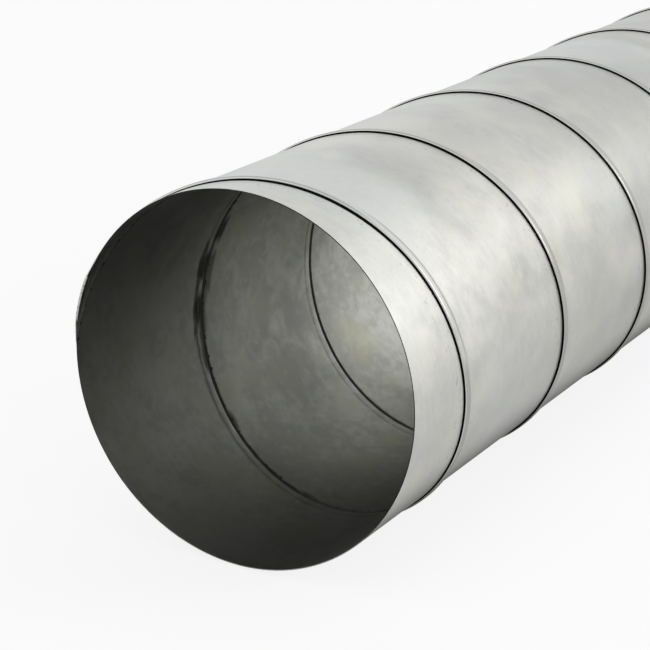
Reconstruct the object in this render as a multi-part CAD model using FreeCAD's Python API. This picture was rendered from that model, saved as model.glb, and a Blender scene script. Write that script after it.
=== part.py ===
"""Spiral duct section: one galvanised strip wound into a round pipe and locked to itself.

The strip's two edges are folded into hooks. At each turn the leading hook of one turn laps
the trailing hook of the turn before, and the four plies make the raised lock seam that runs
round the duct as a right-handed helix. The seam is rolled tight: the leading hook's tongue
is one with the sheet that it is pressed on, and a fine slit is left round the trailing hook.
The duct lies level along +Y with its front mouth at y = 0 and the origin at the centre of
that mouth. Lengths are millimetres.
"""

import FreeCAD
import Part

import math
import os

# Driving sizes
bore_diameter = 200.0
sheet_thickness = 0.5
duct_length = 1000.0
seam_pitch = 122.7
seam_start_angle = 155.2  # degrees on the front rim, from +X towards +Z, where the seam begins
hook_width = 5.2
jog_run = 2.4
ply_clearance = 0.05
cut_overrun = 3.0

# Levels of the four plies, from the bore outwards
bore_radius = bore_diameter / 2
body_radius = bore_radius + sheet_thickness
tongue_top = body_radius + sheet_thickness
return_bottom = tongue_top + ply_clearance
return_top = return_bottom + sheet_thickness
cover_bottom = return_top + ply_clearance
cover_top = cover_bottom + sheet_thickness

jog_bend = math.atan2(cover_bottom - bore_radius, jog_run)
jog_mitre = sheet_thickness * math.tan(jog_bend / 2)
segments_per_turn = 2
segment_angle = 2 * math.pi / segments_per_turn
segment_rise = seam_pitch / segments_per_turn


def outside_profile():
    """Corners (axial, radial) of the outside over one pitch, from the leading hook's fold."""
    return [
        (0.0, body_radius),
        (0.0, cover_top),
        (hook_width + jog_mitre, cover_top),
        (hook_width + jog_run + jog_mitre, body_radius),
        (seam_pitch, body_radius),
    ]


def inside_profile():
    """Corners of the inside over one pitch: the bore, then the slit between the two hooks."""
    fold_inside = seam_pitch + sheet_thickness
    returned_edge = fold_inside + ply_clearance
    return [
        (hook_width + jog_run, bore_radius),
        # trailing hook: its fold, the returned ply and its edge, and the inside of the fold
        (seam_pitch + hook_width, bore_radius),
        (seam_pitch + hook_width, return_top),
        (returned_edge, return_top),
        (returned_edge, return_bottom),
        (seam_pitch + hook_width - sheet_thickness, return_bottom),
        (seam_pitch + hook_width - sheet_thickness, tongue_top),
        # leading hook of the next turn: its tongue, the inside of its fold, and the cover ply
        (fold_inside, tongue_top),
        (fold_inside, cover_bottom),
        (seam_pitch + hook_width, cover_bottom),
        (seam_pitch + hook_width + jog_run, bore_radius),
    ]


def line_on(cylinder, start, end):
    """A straight line in a cylinder's (angle, height) plane: a helix, or a line along it."""
    line = Part.Geom2d.Line2dSegment(
        FreeCAD.Base.Vector2d(*start), FreeCAD.Base.Vector2d(*end)
    )
    return line.toShape(cylinder)


def cylinder_of(radius):
    surface = Part.Cylinder()
    surface.Radius = radius
    return surface


def helix_edge(axial, radial):
    """The path of one corner of the section over one segment of a turn."""
    return line_on(cylinder_of(radial), (0, axial), (segment_angle, axial + segment_rise))


def wound_face(corner, next_corner):
    """The face that one side of the section sweeps over one segment of a turn."""
    (axial, radial), (next_axial, next_radial) = corner, next_corner
    if radial != next_radial:
        return Part.makeRuledSurface(helix_edge(*corner), helix_edge(*next_corner))
    cylinder = cylinder_of(radial)
    border = [
        (0, axial),
        (segment_angle, axial + segment_rise),
        (segment_angle, next_axial + segment_rise),
        (0, next_axial),
    ]
    sides = [
        line_on(cylinder, border[n], border[(n + 1) % len(border)])
        for n in range(len(border))
    ]
    return Part.Face(cylinder, Part.Wire(sides))


def screwed(shape, segments):
    """A copy of the shape, moved along the winding by a number of segments."""
    copy = shape.copy()
    copy.rotate(
        FreeCAD.Vector(), FreeCAD.Vector(0, 0, 1), math.degrees(segment_angle) * segments
    )
    copy.translate(FreeCAD.Vector(0, 0, segment_rise * segments))
    return copy


def wound_skin(profile):
    """The surface that a profile sweeps about Z, cut square at both ends of the duct."""
    segment = [wound_face(*side) for side in zip(profile, profile[1:])]
    first = -math.ceil((profile[-1][0] + cut_overrun) / segment_rise)
    last = math.ceil((duct_length + cut_overrun) / segment_rise)
    skin = Part.Compound([screwed(face, n) for n in range(first, last) for face in segment])
    skin.sewShape()
    saw = Part.makeCylinder(cover_top + cut_overrun, duct_length)
    return skin.common(saw)


def mouth_wire(skin, height):
    """The closed line that the square cut leaves on a skin at one end of the duct."""
    edges = [
        edge
        for edge in skin.Edges
        if all(math.isclose(vertex.Z, height, abs_tol=1e-4) for vertex in edge.Vertexes)
    ]
    return Part.Wire(Part.sortEdges(edges)[0])


def spiral_duct():
    """The sheet between its two skins, laid along +Y with the seam at its angle."""
    outside = wound_skin(outside_profile())
    inside = wound_skin(inside_profile())
    rims = [
        Part.Face(mouth_wire(outside, height)).cut(Part.Face(mouth_wire(inside, height)))
        for height in (0.0, duct_length)
    ]
    shell = Part.Compound([face for skin in (outside, inside, *rims) for face in skin.Faces])
    shell.sewShape()
    duct = Part.Solid(shell.Shells[0])
    if duct.Volume < 0:
        duct.reverse()
    duct.rotate(FreeCAD.Vector(), FreeCAD.Vector(0, 0, 1), -seam_start_angle)
    duct.rotate(FreeCAD.Vector(), FreeCAD.Vector(1, 0, 0), -90)
    return duct


def main():
    os.makedirs("parts", exist_ok=True)
    duct = spiral_duct()
    duct.exportStep("parts/spiral_duct.step")
    print(
        f"spiral_duct: {len(duct.Faces)} faces, valid {duct.isValid()}, "
        f"{duct.Volume / 1000:.1f} cm3, box {duct.optimalBoundingBox(True, False)}"
    )


main()
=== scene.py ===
import math

import bpy
import bmesh
from mathutils import Matrix, Vector


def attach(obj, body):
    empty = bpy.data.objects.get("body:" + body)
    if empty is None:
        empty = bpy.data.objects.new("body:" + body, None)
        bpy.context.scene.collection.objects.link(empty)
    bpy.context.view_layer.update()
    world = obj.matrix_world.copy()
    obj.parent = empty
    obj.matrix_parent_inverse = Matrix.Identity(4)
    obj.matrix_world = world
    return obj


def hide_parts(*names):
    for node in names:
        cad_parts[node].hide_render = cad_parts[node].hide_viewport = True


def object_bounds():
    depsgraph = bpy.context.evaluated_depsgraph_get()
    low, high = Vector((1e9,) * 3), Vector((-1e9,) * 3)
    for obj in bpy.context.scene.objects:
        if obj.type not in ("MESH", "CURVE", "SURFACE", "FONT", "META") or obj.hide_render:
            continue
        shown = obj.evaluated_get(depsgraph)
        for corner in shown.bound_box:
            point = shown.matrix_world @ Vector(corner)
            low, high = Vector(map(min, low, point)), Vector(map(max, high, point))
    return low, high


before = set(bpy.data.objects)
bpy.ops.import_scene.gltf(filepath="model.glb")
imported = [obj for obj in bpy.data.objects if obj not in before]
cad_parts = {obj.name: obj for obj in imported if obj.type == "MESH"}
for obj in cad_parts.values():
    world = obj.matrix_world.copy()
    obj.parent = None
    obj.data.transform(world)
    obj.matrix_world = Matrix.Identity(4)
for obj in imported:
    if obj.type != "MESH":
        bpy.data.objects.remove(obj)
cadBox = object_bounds()
print("frame loaded:", sorted(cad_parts))

# one galvanised strip wound along +Y; its section is (across the strip, out from the axis)
duct = {
    "boreRadius": 0.1,
    "sheet": 0.0005,
    "pitch": 0.1227,
    "seamAngle": math.radians(155.2),  # where the seam's fold starts on the front rim
    "hookWidth": 0.0052,
    "jogRun": 0.0024,
    "plyGap": 0.000028,
    "foldRadius": 0.00077,
    "jogRadius": 0.0009,
    "footRadius": 0.0003,  # the fold's lower bend, pressed sharp against the turn before
    "crownRadius": 0.0055,  # the soft bend where the cover ply turns down to the jog
    "bendSteps": 4,
    "bendGuard": 0.0003,  # a row this far from each bend keeps the plain stretch flat
    "guardShare": 0.25,  # a stretch where the guard takes more than this share has none
    "stepsPerTurn": 144,
    "flatSteps": 4,  # rows across the plain stretch
    "leadIn": 1.05,  # how much further than needed the strip is wound before the front
    "runOut": 1.01,  # and past the back, to be sawn off
    "sharpAngle": math.radians(32),
}

frontY = cadBox[0].y
backY = cadBox[1].y


def stripCorners(d):
    # (across, out, bend radius, kind of the surface that starts here)
    sheet, pitch, hook, run = d["sheet"], d["pitch"], d["hookWidth"], d["jogRun"]
    fold, jog = d["foldRadius"], d["jogRadius"]
    low = [d["boreRadius"] + n * (sheet + d["plyGap"]) for n in range(4)]
    top = [r + sheet for r in low]
    mitre = sheet * math.tan(math.atan2(low[3] - low[0], run) / 2)
    tongueEnd = hook - sheet - d["plyGap"]
    returnedEnd = pitch + sheet + d["plyGap"]
    return [
        (tongueEnd, low[1], 0, "edge"),
        (tongueEnd, top[1], 0, "hidden"),
        (sheet, top[1], 0, "hidden"),
        (sheet, low[3], 0, "hidden"),
        (hook, low[3], jog, "inside"),
        (hook + run, low[0], jog, "inside"),
        (pitch + hook, low[0], fold, "inside"),
        (pitch + hook, top[2], fold, "hidden"),
        (returnedEnd, top[2], 0, "edge"),
        (returnedEnd, low[2], 0, "hidden"),
        (pitch + hook - sheet, low[2], 0, "hidden"),
        (pitch + hook - sheet, top[0], 0, "outside"),
        (hook + run + mitre, top[0], jog, "outside"),
        (hook + mitre, top[3], d["crownRadius"], "outside"),
        (0, top[3], fold, "outside"),
        (0, low[1], d["footRadius"], "outside"),
    ]


def stripOutline(d):
    # rounds the bends and adds rows on the long plain stretches
    corners = stripCorners(d)
    points = []
    for n, (across, out, radius, kind) in enumerate(corners):
        here = Vector((across, out))
        if not radius:
            points.append((here, kind))
            continue
        back = (Vector(corners[n - 1][:2]) - here).normalized()
        ahead = (Vector(corners[(n + 1) % len(corners)][:2]) - here).normalized()
        half = back.angle(ahead) / 2
        reach = radius / math.tan(half)
        centre = here + (back + ahead).normalized() * (radius / math.sin(half))
        start = here + back * reach - centre
        end = here + ahead * reach - centre
        sweep = start.angle(end)
        for k in range(d["bendSteps"] + 1):
            turn = sweep * k / d["bendSteps"]
            spoke = (start * math.sin(sweep - turn) + end * math.sin(turn)) / math.sin(sweep)
            points.append((centre + spoke, kind))
    rows = []
    for n, (here, kind) in enumerate(points):
        after = points[(n + 1) % len(points)][0]
        length = (after - here).length
        guard = d["bendGuard"] / length
        shares = [0]
        if length > d["pitch"] / 2:
            steps = d["flatSteps"]
            shares = [0, guard] + [k / steps for k in range(1, steps)] + [1 - guard]
        elif guard < d["guardShare"] and kind != "hidden":
            shares = [0, guard, 1 - guard]
        rows += [(here.lerp(after, share), kind) for share in shares]
    return rows


def squareCut(bm, y, side, material):
    # saws the winding off at y and closes the sheet's cut edge
    cut = bmesh.ops.bisect_plane(
        bm,
        geom=bm.verts[:] + bm.edges[:] + bm.faces[:],
        plane_co=(0, y, 0),
        plane_no=(0, side, 0),
        clear_outer=True,
    )
    sawn = [edge for edge in cut["geom_cut"] if isinstance(edge, bmesh.types.BMEdge)]
    cap = bmesh.ops.triangle_fill(bm, edges=sawn, use_beauty=True, normal=(0, side, 0))
    for face in cap["geom"]:
        if isinstance(face, bmesh.types.BMFace):
            face.material_index = material
            face.smooth = False


def windStrip(d, name, kinds):
    # UV strip: metres along and across the strip; UV seam: turns along and metres past the seam
    outline = stripOutline(d)
    rise = d["pitch"] / d["stepsPerTurn"]
    first = -math.ceil((d["pitch"] + d["hookWidth"]) * d["leadIn"] / rise)
    last = math.ceil((backY - frontY) * d["runOut"] / rise)
    bm = bmesh.new()
    strip = bm.loops.layers.uv.new("strip")
    seam = bm.loops.layers.uv.new("seam")
    rings = []
    for n in range(first, last + 1):
        angle = d["seamAngle"] - 2 * math.pi * n / d["stepsPerTurn"]
        rings.append([
            bm.verts.new((p.y * math.cos(angle), frontY + rise * n + p.x, p.y * math.sin(angle)))
            for p, kind in outline
        ])
    girth = 2 * math.pi * d["boreRadius"]
    for n in range(len(rings) - 1):
        turns = [(first + n + step) / d["stepsPerTurn"] for step in (0, 1, 1, 0)]
        for k, (here, kind) in enumerate(outline):
            j = (k + 1) % len(outline)
            there = outline[j][0]
            face = bm.faces.new((rings[n][k], rings[n + 1][k], rings[n + 1][j], rings[n][j]))
            face.material_index = kinds.index(kind)
            face.smooth = True
            lap = 1 if here.x + there.x > d["pitch"] else 0
            for loop, v, turn in zip(face.loops, (here.x, here.x, there.x, there.x), turns):
                loop[strip].uv = (turn * girth, v)
                loop[seam].uv = (turn + lap, v - lap * d["pitch"])
    squareCut(bm, frontY, -1, kinds.index("edge"))
    squareCut(bm, backY, 1, kinds.index("edge"))
    bmesh.ops.recalc_face_normals(bm, faces=bm.faces[:])
    mesh = bpy.data.meshes.new(name)
    bm.to_mesh(mesh)
    bm.free()
    mesh.set_sharp_from_angle(angle=d["sharpAngle"])
    return mesh


class Wire:
    # wraps a socket, so that sums on values write Math nodes
    def __init__(self, sheet, socket):
        self.sheet = sheet
        self.socket = socket

    def math(self, operation, *values):
        return self.sheet.add("ShaderNodeMath", {"operation": operation}, values)

    def __add__(self, other):
        return self.math("ADD", self, other)

    __radd__ = __add__

    def __sub__(self, other):
        return self.math("SUBTRACT", self, other)

    def __rsub__(self, other):
        return self.math("SUBTRACT", other, self)

    def __mul__(self, other):
        return self.math("MULTIPLY", self, other)

    __rmul__ = __mul__

    def atMost(self, other):
        return self.math("MINIMUM", self, other)

    def atLeast(self, other):
        return self.math("MAXIMUM", self, other)

    def root(self):
        return self.math("SQRT", self)


class Sheet:
    # one material's node tree
    def __init__(self, name):
        self.material = bpy.data.materials.new(name)
        self.material.use_nodes = True
        self.tree = self.material.node_tree
        self.tree.nodes.clear()

    def add(self, kind, settings=None, inputs=None, output=0):
        node = self.tree.nodes.new(kind)
        for key, value in (settings or {}).items():
            setattr(node, key, value)
        pairs = inputs.items() if isinstance(inputs, dict) else enumerate(inputs or [])
        for key, value in pairs:
            if isinstance(value, Wire):
                self.tree.links.new(value.socket, node.inputs[key])
            else:
                node.inputs[key].default_value = value
        return Wire(self, node.outputs[output]) if node.outputs else None

    def finish(self, shader):
        self.add("ShaderNodeOutputMaterial", {}, [shader])
        return self.material

    def map(self, name):
        return self.add("ShaderNodeUVMap", {"uv_map": name})

    def place(self):
        # metres across, along and up
        return self.add("ShaderNodeTexCoord", {}, output=3)

    def parts(self, vector):
        split = self.add("ShaderNodeSeparateXYZ", {}, [vector]).socket.node
        return [Wire(self, split.outputs[n]) for n in range(3)]

    def joined(self, x, y, z):
        return self.add("ShaderNodeCombineXYZ", {}, [x, y, z])

    def stretch(self, vector, scale):
        return self.add("ShaderNodeVectorMath", {"operation": "MULTIPLY"}, [vector, scale])

    def distance(self, vector, other):
        settings = {"operation": "DISTANCE"}
        return self.add("ShaderNodeVectorMath", settings, [vector, other], output=1)

    def noise(self, vector, scale, detail, roughness):
        inputs = {"Vector": vector, "Scale": scale, "Detail": detail, "Roughness": roughness}
        return self.add("ShaderNodeTexNoise", {}, inputs)

    def smooth(self, value, low, high):
        # 0 below low, 1 above high; the limits may be sockets
        settings = {"interpolation_type": "SMOOTHSTEP"}
        return self.add("ShaderNodeMapRange", settings, [value, low, high, 0.0, 1.0])

    def step(self, value, limit, soft):
        # 0 below the limit, 1 above it, with a slope over twice soft
        return self.smooth(value, limit - soft, limit + soft)

    def band(self, value, low, high, soft):
        # 1 between low and high, with edges that fade over twice soft
        return self.step(value, low, soft) * (1 - self.step(value, high, soft))

    def mix(self, amount, first, second):
        settings = {"data_type": "RGBA"}
        return self.add("ShaderNodeMix", settings, {0: amount, 6: first, 7: second}, output=2)


def colour(r, g, b):
    return (r, g, b, 1.0)


# a near-black look: real oil and dirt, and also painted shade in the fold's crevice, the bore's
# groove and crease, the seam pockets and on the underside
grimeAndShade = {
    "tint": (0.006, 0.006, 0.005),
    "roughness": 0.85,
    "front": -0.0011,  # the black line along the outer fold, partly oil in its crevice and partly painted shade of the crevice, in metres past the seam
    "settled": 0.0012,  # how much further out it reaches on the top of the duct
    "sunk": 0.00025,  # and how much lower it lies there
    "topHeights": (0.062, 0.096),  # the heights between which this sets in
    "back": 0.0010,
    "top": 0.10128,  # how far out from the axis it reaches on the fold
    "soft": 0.00009,
    "firstTurn": (0.6, 1.1),  # the seam's look changes between these turns along it
    "drift": 0.0004,  # how much later the line lies after them
    "driftOut": 0.6,  # and the share of this that it also reaches further out
    "underShade": (-0.075, -0.036),  # heights between which painted shade on the underside fades out
    "underShadeDepth": 0.60,
}


# near-black shader, for oil and for painted shade
def grimeAndShadeShader(s, g):
    return s.add(
        "ShaderNodeBsdfPrincipled",
        {},
        {
            "Base Color": colour(*g["tint"]),
            "Roughness": g["roughness"],
            "Specular IOR Level": 0.0,
        },
    )


def placedShadeAndLight(s, z, place, clouds, blotches, tint):
    # painted shade and painted light in placed patches
    wander = (blotches - 0.5) * z["patchRagged"] + (clouds - 0.5) * z["patchBent"]
    for middle, radius, change in z["shadeAndLightPatches"]:
        patch = 1 - s.smooth(s.distance(place, middle) + wander, 0.0, radius)
        tint = s.stretch(tint, patch * change + 1)
    return tint


# a noise is (scale, detail, roughness), and edges are the two values that it fades between
zinc = {
    "pale": (0.61, 0.605, 0.575),
    "dull": (0.50, 0.50, 0.485),
    "metallic": 0.9,
    "roughness": 0.35,
    "clouds": (9.0, 3.0, 0.5),
    "blotches": (38.0, 3.0, 0.5),
    "flakes": (130.0, 3.0, 0.6),
    "specks": (420.0, 2.0, 0.6),
    "rolling": (9.0, 700.0, 1.0),  # faint streaks along the strip
    "rollingGrain": (1.0, 3.0, 0.6),
    "strokes": (70.0, 330.0, 1.0),  # and short marks
    "strokeGrain": (1.0, 2.0, 0.5),
    "mixShares": (0.37, 0.22, 0.16, 0.10, 0.05, 0.10),  # of these six, in their order
    "mixEdges": (0.40, 0.60),
    "fartherShade": (0.08, 0.40),  # painted shade: it gets a little darker between these distances along the duct
    "fartherShadeDepth": 0.48,
    "warm": (0.60, 0.59, 0.50),  # faint yellowish blotches
    "warmGrain": (27.0, 2.0, 0.5),
    "warmEdges": (0.50, 0.72),
    "warmDepth": 0.4,
    "cool": (0.55, 0.575, 0.57),  # and faint bluish ones
    "coolGrain": (8.0, 2.0, 0.5),
    "coolFlip": (1.0, 1.0, -1.0),  # keeps them off the clouds' own places
    "coolEdges": (0.45, 0.62),
    "coolDepth": 0.5,
    # painted shade and painted light as duller and brighter patches where the photo shows them:
    # middle, radius, change
    "shadeAndLightPatches": [
        ((0.036, 0.112, 0.094), 0.060, -0.19),
        ((0.033, 0.180, 0.095), 0.055, -0.12),
        ((0.096, 0.108, 0.030), 0.075, -0.13),
        ((0.089, 0.167, 0.047), 0.055, -0.08),
        ((0.100, 0.235, 0.001), 0.070, -0.10),
        ((0.070, 0.040, 0.072), 0.050, 0.07),
    ],
    "patchRagged": 0.04,  # how far the blotches
    "patchBent": 0.03,  # and the clouds move their outlines
    "fleck": (0.16, 0.16, 0.15),  # dark flecks, most of them beside the seam
    "fleckGrain": (300.0, 3.0, 0.7),
    "fleckEdges": (0.60, 0.70),
    "fleckReach": 0.010,
    "fleckSoft": 0.002,
    "fleckDepth": 0.10,
    "fleckSeamDepth": 0.45,  # added beside the seam
    "lap": (0.30, 0.30, 0.285),  # the back of the cover ply, dulled in bands partly by the rollers and partly as painted shade; also the tone of the painted shade further along the duct
    "lapFrom": 0.1015,
    "lapFromSoft": 0.0002,
    # bands of it: metres past the seam from and to, heights from and to, how much higher
    # they reach after the first turn, depth
    "lapBands": [
        (0.0002, 0.0016, 0.083, 0.200, 0.0, 0.70),
        (0.0036, 0.0046, 0.015, 0.087, 0.0, 1.00),
        (0.0002, 0.0040, 0.015, 0.087, 0.0, 0.28),
        (0.0003, 0.0044, -0.200, 0.015, 0.075, 0.62),
    ],
    "lapSoft": 0.0004,
    "lapHeightSoft": 0.008,
    "lapWaves": 4.0,  # they come and go about this often in a turn
    "lapGrain": (1.0, 2.0, 0.5),
    "lapLeast": 0.75,
    "lapSwing": 0.5,
    "crestHighlight": (0.74, 0.74, 0.725),  # a painted highlight along the fold's crest
    "crestHighlightRadii": (0.1011, 0.10165),
    "crestHighlightSoft": 0.00015,
    "crestHighlightPast": (-0.01, 0.003),
    "crestHighlightPastSoft": 0.001,
    "roughFlakes": 0.12,
    "roughClouds": 0.10,
    "bumpDistance": 0.0015,
    "bumpFlakes": 0.006,
    "bumpSpecks": 0.004,
}


def seamWearAndPaintedLight(s, z, g, tint, turn, past, up, fromAxis):
    # bands on the cover ply, partly roller marks and partly painted shade, and a painted
    # highlight along the fold's crest
    after = s.smooth(turn, *g["firstTurn"])
    along = s.noise(s.joined(turn * z["lapWaves"], 0.0, 0.0), *z["lapGrain"])
    lap = 0.0
    for start, end, low, high, climb, depth in z["lapBands"]:
        heights = s.band(up, low, after * climb + high, z["lapHeightSoft"])
        mark = s.band(past, start, end, z["lapSoft"]) * heights * depth
        lap = mark.atLeast(lap)
    lap = lap * (along * z["lapSwing"] + z["lapLeast"])
    lap = lap * s.step(fromAxis, z["lapFrom"], z["lapFromSoft"])
    # the bands are partly roller marks and partly painted shade
    tint = s.mix(lap, tint, colour(*z["lap"]))
    # painted highlight along the fold's crest
    crestHighlight = s.band(fromAxis, *z["crestHighlightRadii"], z["crestHighlightSoft"])
    crestHighlight = crestHighlight * s.band(past, *z["crestHighlightPast"], z["crestHighlightPastSoft"])
    return s.mix(crestHighlight, tint, colour(*z["crestHighlight"]))


def outerGrimeAndShade(s, g, turn, past, up, fromAxis):
    # the black line along the fold, partly oil and partly painted shade of its crevice, and
    # painted shade on the underside
    later = s.smooth(turn, *g["firstTurn"]) * g["drift"]
    above = s.smooth(up, *g["topHeights"])
    begins = above * -g["settled"] + g["front"] + later
    # the fold's line: partly oil, partly painted shade of the crevice
    line = s.step(past - begins, 0, g["soft"]) * (1 - s.step(past, g["back"], g["soft"]))
    out = fromAxis - later * g["driftOut"] + above * g["sunk"]
    low = 1 - s.step(out, g["top"], g["soft"])
    # painted shade, darker towards the underside
    underShade = 1 - s.smooth(up, *g["underShade"])
    return (line * low).atLeast(underShade * g["underShadeDepth"])


def zincOutside(z, g):
    s = Sheet("zinc_outside")
    place = s.place()
    strip = s.map("strip")
    turn, past = s.parts(s.map("seam"))[:2]
    x, y, up = s.parts(place)
    fromAxis = (x * x + up * up).root()
    clouds = s.noise(place, *z["clouds"])
    blotches = s.noise(place, *z["blotches"])
    flakes = s.noise(place, *z["flakes"])
    specks = s.noise(place, *z["specks"])
    rolling = s.noise(s.stretch(strip, z["rolling"]), *z["rollingGrain"])
    strokes = s.noise(s.stretch(strip, z["strokes"]), *z["strokeGrain"])
    grains = (clouds, blotches, flakes, specks, rolling, strokes)
    mixed = sum(grain * share for grain, share in zip(grains, z["mixShares"]))
    tint = s.mix(s.smooth(mixed, *z["mixEdges"]), colour(*z["dull"]), colour(*z["pale"]))
    # painted shade further along the duct
    fartherShade = s.smooth(y, *z["fartherShade"]) * z["fartherShadeDepth"]
    tint = s.mix(fartherShade, tint, colour(*z["lap"]))
    yellow = s.smooth(s.noise(place, *z["warmGrain"]), *z["warmEdges"])
    tint = s.mix(yellow * z["warmDepth"], tint, colour(*z["warm"]))
    blue = s.noise(s.stretch(place, z["coolFlip"]), *z["coolGrain"])
    blue = s.smooth(blue, *z["coolEdges"]) * z["coolDepth"]
    tint = s.mix(blue, tint, colour(*z["cool"]))
    tint = placedShadeAndLight(s, z, place, clouds, blotches, tint)
    beside = s.band(past, g["front"] - z["fleckReach"], g["front"], z["fleckSoft"])
    fleck = s.smooth(s.noise(place, *z["fleckGrain"]), *z["fleckEdges"])
    fleck = fleck * (beside * z["fleckSeamDepth"] + z["fleckDepth"])
    tint = s.mix(fleck, tint, colour(*z["fleck"]))
    tint = seamWearAndPaintedLight(s, z, g, tint, turn, past, up, fromAxis)
    roughness = z["roughness"] + (flakes - 0.5) * z["roughFlakes"]
    roughness = roughness + (clouds - 0.5) * z["roughClouds"]
    height = clouds + flakes * z["bumpFlakes"] + specks * z["bumpSpecks"]
    bump = {"Strength": 1.0, "Distance": z["bumpDistance"], "Height": height}
    metal = s.add(
        "ShaderNodeBsdfPrincipled",
        {},
        {
            "Base Color": tint,
            "Metallic": z["metallic"],
            "Roughness": roughness,
            "Normal": s.add("ShaderNodeBump", {}, bump),
        },
    )
    dirtAndShade = outerGrimeAndShade(s, g, turn, past, up, fromAxis)
    return s.finish(s.add("ShaderNodeMixShader", {}, [dirtAndShade, metal, grimeAndShadeShader(s, g)]))


bore = {
    "pale": (0.71, 0.715, 0.695),
    "dull": (0.49, 0.495, 0.475),
    "metallic": 0.95,
    "roughness": 0.39,
    "roughFlakes": 0.12,
    "clouds": (9.0, 3.0, 0.5),
    "blotches": (42.0, 3.0, 0.5),
    "flakes": (170.0, 4.0, 0.65),
    "mixShares": (0.28, 0.38, 0.34),  # of these three, in their order
    "mixEdges": (0.41, 0.59),
    "warm": (0.60, 0.60, 0.46),  # olive blotches
    "warmGrain": (30.0, 2.0, 0.5),
    "warmEdges": (0.48, 0.70),
    "warmDepth": 0.55,
    "mouthShade": (0.16, 0.16, 0.15),  # painted shade, a darker grey strongest at the mouths
    "mouthShadeDepth": 0.80,
    "mouthShadeReach": (-0.02, 0.34),  # it fades out between these distances from a mouth
    # painted shade and painted light as duller and brighter patches, as on the outside
    "shadeAndLightPatches": [
        ((-0.062, 0.278, -0.079), 0.072, 0.24),
        ((-0.008, 0.172, -0.099), 0.088, 0.52),
        ((-0.094, 0.155, 0.034), 0.075, 0.50),
        ((-0.068, 0.182, -0.073), 0.060, -0.28),
        ((-0.098, 0.215, -0.018), 0.050, -0.20),
    ],
    "patchRagged": 0.04,
    "patchBent": 0.03,
    "groove": (0.0047, 0.0077),  # the open side of the seam, in metres past it
    "grooveSofts": (0.0005, 0.0006),
    "grooveDepth": 0.80,
    "grooveWaves": (120.0, 0.0, 1.0),  # its oil and painted shade have wavy edges
    "waveGrain": (1.0, 3.0, 0.5),
    "waveReach": 0.0016,
    "grooveDrips": (260.0, 0.0, 1.0),  # and short drips
    "dripGrain": (1.0, 2.0, 0.5),
    "dripEdges": (0.52, 0.66),
    "dripReach": 0.0013,
    "fainter": (1.2, 1.5),  # it gets fainter between these turns
    "fainterBy": 0.55,
    "crease": (-0.0011, 0.0010),  # painted shade where the next turn's fold presses through
    "creaseSoft": 0.0008,
    "creaseGaps": (0.2, 0.6),
    "creaseDepth": 0.38,
    "rightwardFade": (-0.032, 0.004),  # from the left to the right of these both are less dark
    "rightwardFadeBy": 0.5,
    # oil rubbed along the first seam: turns from and to, metres past it from and to, depth
    "smears": [
        (0.655, 1.020, 0.0044, 0.0074, 0.45),
        (0.775, 0.985, -0.0010, 0.0012, 0.50),
        (0.815, 0.870, -0.0012, 0.0012, 0.60),
        (0.865, 0.900, -0.0014, 0.0008, 0.72),
        (0.893, 0.983, -0.0030, 0.0010, 0.80),
        (0.858, 0.935, 0.0022, 0.0068, 0.84),
        (0.900, 0.933, -0.0020, 0.0070, 0.88),
        (0.944, 0.970, -0.0038, 0.0080, 0.86),
        (0.928, 0.968, 0.0060, 0.0132, 0.58),
        (0.893, 0.945, 0.0066, 0.0105, 0.40),
        (0.978, 1.000, 0.0055, 0.0130, 0.82),
        (0.697, 0.712, 0.0060, 0.0096, 0.50),
        (0.735, 0.748, 0.0040, 0.0086, 0.45),
        (0.800, 0.818, 0.0060, 0.0104, 0.65),
    ],
    # of each pair, the first is along the seam in turns and the second across it in metres
    "smearSofts": (0.006, 0.0013),
    "smearWander": (0.014, 0.004),  # how far their edges wander
    "smearWaves": (60.0, 150.0),  # and how often
    "smearGrain": (1.0, 3.0, 0.5),
    "streakWaves": (45.0, 900.0),  # streaks within them
    "streakGrain": (1.0, 2.0, 0.5),
    "streakLayer": 3.0,  # keeps the streaks off the edges' own noise
    "streakMean": 0.92,
    "streakSwing": 0.5,
}


def smears(s, b, turn, past):
    waves, streaks = b["smearWaves"], b["streakWaves"]
    wander = s.joined(turn * waves[0], past * waves[1], 0.0)
    wander = s.noise(wander, *b["smearGrain"]) - 0.5
    streak = s.joined(turn * streaks[0], past * streaks[1], b["streakLayer"])
    streak = s.noise(streak, *b["streakGrain"]) - 0.5
    along = turn + wander * b["smearWander"][0]
    across = past + wander * b["smearWander"][1]
    alongSoft, acrossSoft = b["smearSofts"]
    marks = 0.0
    for start, end, near, far, depth in b["smears"]:
        mark = s.band(along, start, end, alongSoft) * s.band(across, near, far, acrossSoft)
        marks = (mark * depth).atLeast(marks)
    return marks * (b["streakMean"] + streak * b["streakSwing"])


def innerGrimeAndShade(s, b, turn, past, x):
    # oil and painted shade in the groove, painted shade along the crease beside it, and oil
    # smears along the first seam
    strip = s.map("strip")
    wavy = s.noise(s.stretch(strip, b["grooveWaves"]), *b["waveGrain"])
    drips = s.noise(s.stretch(strip, b["grooveDrips"]), *b["dripGrain"])
    drips = s.smooth(drips, *b["dripEdges"])
    shifted = past + (wavy - 0.5) * b["waveReach"]
    dripping = shifted - drips * b["dripReach"]
    begin, end = b["groove"]
    beginSoft, endSoft = b["grooveSofts"]
    # the groove: oil and painted shade
    groove = s.step(shifted, begin, beginSoft) * (1 - s.step(dripping, end, endSoft))
    groove = groove * (1 - s.smooth(turn, *b["fainter"]) * b["fainterBy"])
    # painted shade along the crease
    crease = s.band(past, *b["crease"], b["creaseSoft"]) * s.smooth(wavy, *b["creaseGaps"])
    dirtAndShade = (groove * b["grooveDepth"]).atLeast(crease * b["creaseDepth"])
    dirtAndShade = dirtAndShade * (1 - s.smooth(x, *b["rightwardFade"]) * b["rightwardFadeBy"])
    return dirtAndShade.atLeast(smears(s, b, turn, past))


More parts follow.
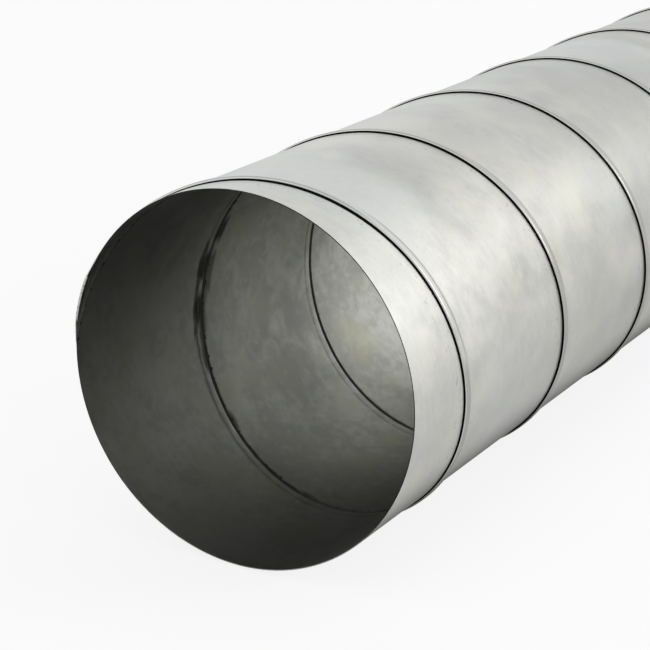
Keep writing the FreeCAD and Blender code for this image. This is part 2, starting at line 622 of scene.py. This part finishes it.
def zincInside(b, g):
    s = Sheet("zinc_inside")
    place = s.place()
    turn, past = s.parts(s.map("seam"))[:2]
    x, y = s.parts(place)[:2]
    clouds = s.noise(place, *b["clouds"])
    blotches = s.noise(place, *b["blotches"])
    flakes = s.noise(place, *b["flakes"])
    grains = (clouds, blotches, flakes)
    mixed = sum(grain * share for grain, share in zip(grains, b["mixShares"]))
    tint = s.mix(s.smooth(mixed, *b["mixEdges"]), colour(*b["dull"]), colour(*b["pale"]))
    olive = s.smooth(s.noise(place, *b["warmGrain"]), *b["warmEdges"])
    tint = s.mix(olive * b["warmDepth"], tint, colour(*b["warm"]))
    inwards = (y - frontY).atMost(backY - y)
    # painted shade in the bore near each mouth
    mouthShade = 1 - s.smooth(inwards, *b["mouthShadeReach"])
    tint = s.mix(mouthShade * b["mouthShadeDepth"], tint, colour(*b["mouthShade"]))
    tint = placedShadeAndLight(s, b, place, clouds, blotches, tint)
    metal = s.add(
        "ShaderNodeBsdfPrincipled",
        {},
        {
            "Base Color": tint,
            "Metallic": b["metallic"],
            "Roughness": b["roughness"] + (flakes - 0.5) * b["roughFlakes"],
        },
    )
    dirtAndShade = innerGrimeAndShade(s, b, turn, past, x)
    return s.finish(s.add("ShaderNodeMixShader", {}, [dirtAndShade, metal, grimeAndShadeShader(s, g)]))


rim = {
    # the cut face is near-black as painted shade
    "dark": (0.015, 0.015, 0.014),
    "bright": (0.62, 0.61, 0.58),  # painted light, low on the mouth and on the lap
    "metallic": 0.9,
    "roughness": 0.4,
    "grain": (500.0, 3.0, 0.6),
    "grainEdges": (0.2, 0.5),
    "lowerLightTop": -0.075,
    "lowerLightSoft": 0.02,
    "lowerLightDepth": 0.6,
    "lapFrom": 0.1008,
    "lapSoft": 0.0001,
}


def cutEdge(r):
    s = Sheet("cut_edge")
    place = s.place()
    x, _, up = s.parts(place)
    fromAxis = (x * x + up * up).root()
    # painted light, lighter low on the mouth and on the lap's cut edges
    lowerLight = (1 - s.step(up, r["lowerLightTop"], r["lowerLightSoft"])) * r["lowerLightDepth"]
    lighter = lowerLight.atLeast(s.step(fromAxis, r["lapFrom"], r["lapSoft"]))
    lighter = lighter * s.smooth(s.noise(place, *r["grain"]), *r["grainEdges"])
    tint = s.mix(lighter, colour(*r["dark"]), colour(*r["bright"]))
    inputs = {"Base Color": tint, "Metallic": r["metallic"], "Roughness": r["roughness"]}
    return s.finish(s.add("ShaderNodeBsdfPrincipled", {}, inputs))


# the hidden faces inside the lock seam, near-black as painted shade in its gaps
def seamPocket(g):
    s = Sheet("seam_pocket")
    return s.finish(grimeAndShadeShader(s, g))


surfaces = {
    "outside": zincOutside(zinc, grimeAndShade),
    "inside": zincInside(bore, grimeAndShade),
    "edge": cutEdge(rim),
    "hidden": seamPocket(grimeAndShade),
}
print("materials made:", ", ".join(surfaces))

ductMesh = windStrip(duct, "duct_sheet", list(surfaces))
for surface in surfaces.values():
    ductMesh.materials.append(surface)
ductSheet = bpy.data.objects.new("duct_sheet", ductMesh)
bpy.context.scene.collection.objects.link(ductSheet)
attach(ductSheet, "root")
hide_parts("spiral_duct")
print("duct wound:", len(ductMesh.polygons), "faces")

studio = {
    "paperSize": 30.0,
    "paperTint": (0.70, 0.70, 0.70),
    "floorSeen": 0.85,  # how far the floor shows as plain white to the camera
    "floorMirrored": 0.1,  # and in the metal
    "worldTint": (0.985, 1.0, 1.0),
    "worldStrength": 1.0,
}

floorZ = cadBox[0].z


def makeFloor(t):
    half = t["paperSize"] / 2
    mesh = bpy.data.meshes.new("floor")
    corners = [(-half, -half, 0), (half, -half, 0), (half, half, 0), (-half, half, 0)]
    mesh.from_pydata(corners, [], [(0, 1, 2, 3)])
    floor = bpy.data.objects.new("floor", mesh)
    floor.location = (0, 0, floorZ)
    bpy.context.scene.collection.objects.link(floor)
    s = Sheet("floor_paper")
    paper = s.add("ShaderNodeBsdfDiffuse", {}, {"Color": colour(*t["paperTint"])})
    white = s.add("ShaderNodeEmission", {}, {"Color": colour(1, 1, 1), "Strength": 1.0})
    rays = s.add("ShaderNodeLightPath").socket.node
    seen = Wire(s, rays.outputs["Is Camera Ray"])
    mirrored = Wire(s, rays.outputs["Is Glossy Ray"])
    through = Wire(s, rays.outputs["Is Transmission Ray"])
    amount = (seen.atLeast(through) * t["floorSeen"]).atLeast(mirrored * t["floorMirrored"])
    mesh.materials.append(s.finish(s.add("ShaderNodeMixShader", {}, [amount, paper, white])))


def makeWorld(t):
    world = bpy.data.worlds.new("studio")
    bpy.context.scene.world = world
    world.use_nodes = True
    back = world.node_tree.nodes["Background"]
    back.inputs["Color"].default_value = colour(*t["worldTint"])
    back.inputs["Strength"].default_value = t["worldStrength"]


lamps = {
    "side": {
        "place": (1.4, 1.75, 1.40),
        "aim": (0.2, 0.05, 0.1),
        "size": 2.0,
        "power": 6.2,
        "tint": (1.0, 0.955, 0.895),
    },
    "floor": {
        "place": (1.8, 0.9, 0.7),
        "aim": (0.4, 0.4, -0.1),
        "size": 0.8,
        "power": 18.0,
        "tint": (1.0, 0.97, 0.92),
    },
    "back": {  # a small one close behind the back mouth lights the bore
        "place": (0.0, 1.06, 0.0),
        "aim": (0.0, 1.0, 0.0),
        "size": 0.19,
        "power": 0.465,
        "tint": (1.0, 1.0, 1.0),
    },
}


def softbox(name, t):
    lamp = bpy.data.lights.new(name, "AREA")
    lamp.shape = "SQUARE"
    lamp.size = t["size"]
    lamp.energy = t["power"]
    lamp.color = t["tint"]
    holder = bpy.data.objects.new(name, lamp)
    holder.location = t["place"]
    beam = Vector(t["aim"]) - Vector(t["place"])
    holder.rotation_euler = beam.to_track_quat("-Z", "Y").to_euler()
    bpy.context.scene.collection.objects.link(holder)


makeFloor(studio)
makeWorld(studio)
for name, lamp in lamps.items():
    softbox(name + "_softbox", lamp)

camera = {
    "place": (0.5131, -0.8016, 0.3455),
    "right": (0.8661, 0.4997, 0.0),
    "up": (-0.1569, 0.2719, 0.9494),
    "lens": 111.29,
    "sensor": 36.0,
    "clip": (0.01, 100),
}


def makeCamera(c):
    data = bpy.data.cameras.new("camera")
    data.lens = c["lens"]
    data.sensor_width = c["sensor"]
    data.clip_start, data.clip_end = c["clip"]
    holder = bpy.data.objects.new("camera", data)
    right = Vector(c["right"]).normalized()
    up = Vector(c["up"]).normalized()
    turn = Matrix((right, up, right.cross(up))).transposed().to_4x4()
    holder.matrix_world = Matrix.Translation(c["place"]) @ turn
    bpy.context.scene.collection.objects.link(holder)
    bpy.context.scene.camera = holder


makeCamera(camera)
bpy.context.scene.view_settings.view_transform = "Standard"
print("studio set")
